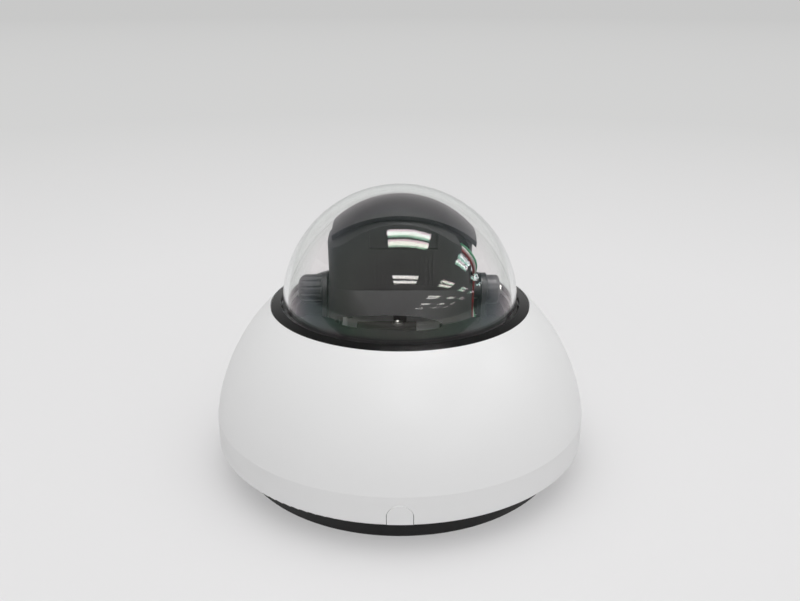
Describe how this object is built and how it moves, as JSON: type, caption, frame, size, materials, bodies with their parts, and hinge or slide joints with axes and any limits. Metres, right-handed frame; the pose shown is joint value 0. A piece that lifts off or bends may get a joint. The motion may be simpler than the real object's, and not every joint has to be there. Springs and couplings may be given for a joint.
{
  "type": "dome security camera",
  "caption": "Fixed dome security camera: white cover on a dark base, clear bubble over a black camera unit that pans, tilts and rolls.",
  "frame": {"origin": "centre of the underside of the mounting base", "axes": "+Z from the mounting face up through the dome, -Y towards the knockout tab, +X to the right of it"},
  "size_m": [0.18, 0.18, 0.1352],
  "materials": {
    "white_cover": "fine satin texture",
    "black_base": "matte",
    "black_trim": "satin",
    "clear_dome": "clear, hard coated",
    "black_liner": "satin",
    "black_visor": "satin",
    "seal_rubber": "matte",
    "screw_steel": "zinc plated",
    "board_green": "solder mask",
    "tin_plate": "tinned",
    "terminal_green": "matte",
    "switch_black": "matte",
    "button_white": "matte",
    "lens_black": "black anodised",
    "lens_glass": "coated",
    "pin_steel": "plated",
    "wire_red": "insulation",
    "wire_white": "insulation",
    "wire_green": "insulation"
  },
  "bodies": {
    "housing": {"mounting_base": "black_base", "cable_grommet": "seal_rubber", "main_board": "board_green", "board_screws": "screw_steel", "network_jack": "tin_plate", "power_terminals": "terminal_green", "card_slot": "tin_plate", "processor_shield": "tin_plate", "status_led": "button_white", "reset_switch": "switch_black", "pan_deck": "black_liner", "deck_screws": "screw_steel", "cover_shell": "white_cover", "cover_screws": "screw_steel", "knockout_tab": "white_cover", "trim_ring": "black_trim", "dome_bubble": "clear_dome", "dome_gasket": "seal_rubber", "dome_clamp_ring": "black_liner", "clamp_screws": "screw_steel"},
    "button": {"reset_button": "button_white"},
    "pan_unit": {"pan_ring": "black_liner", "yoke_left": "black_liner", "yoke_right": "black_liner", "yoke_screws": "screw_steel", "inner_liner": "black_liner", "liner_screws": "screw_steel", "pan_lock_bar": "black_liner", "pan_lock_screw": "screw_steel", "wire_red": "wire_red", "wire_white": "wire_white", "wire_green": "wire_green", "wire_plug": "switch_black"},
    "tilt_unit": {"tilt_cradle": "black_liner", "visor": "black_visor", "visor_screws": "screw_steel", "tilt_pivot_cap": "black_visor", "tilt_pivot_screw": "screw_steel"},
    "tilt_lock": {"tilt_lock_knob": "black_visor"},
    "roll_unit": {"lens_carriage": "lens_black", "roll_retainer": "lens_black", "sensor_board": "board_green", "image_sensor": "switch_black", "lens_barrel": "lens_black", "lens_bezel": "lens_black", "front_glass": "lens_glass", "rear_glass": "lens_glass", "infrared_filter": "lens_glass"},
    "zoom": {"zoom_ring": "lens_black", "zoom_lock_pin": "pin_steel"},
    "focus": {"focus_ring": "lens_black", "focus_lock_pin": "pin_steel"}
  },
  "joints": [
    {"name": "pan", "type": "hinge", "parent": "housing", "child": "pan_unit", "pos_m": [0, 0, 0.0632], "axis": [0, 0, 1], "range_deg": [-175, 175]},
    {"name": "tilt", "type": "hinge", "parent": "pan_unit", "child": "tilt_unit", "pos_m": [0.002, 0, 0.085], "axis": [1, 0, 0], "range_deg": [-40, 45]},
    {"name": "tilt_lock_turn", "type": "hinge", "parent": "tilt_unit", "child": "tilt_lock", "pos_m": [0.002, 0, 0.085], "axis": [-1, 0, 0], "range_deg": [0, 180]},
    {"name": "roll", "type": "hinge", "parent": "tilt_unit", "child": "roll_unit", "pos_m": [0.002, 0, 0.085], "axis": [0, 0.7071, 0.7071], "range_deg": [-95, 95]},
    {"name": "zoom_turn", "type": "hinge", "parent": "roll_unit", "child": "zoom", "pos_m": [0.002, 0, 0.085], "axis": [0, 0.7071, 0.7071], "range_deg": [-45, 45]},
    {"name": "focus_turn", "type": "hinge", "parent": "roll_unit", "child": "focus", "pos_m": [0.002, 0, 0.085], "axis": [0, 0.7071, 0.7071], "range_deg": [-60, 60]},
    {"name": "reset_press", "type": "slide", "parent": "housing", "child": "button", "axis": [0, 0, -1], "range_m": [0, 0.00025], "stiffness_N_per_m": 800}
  ]
}
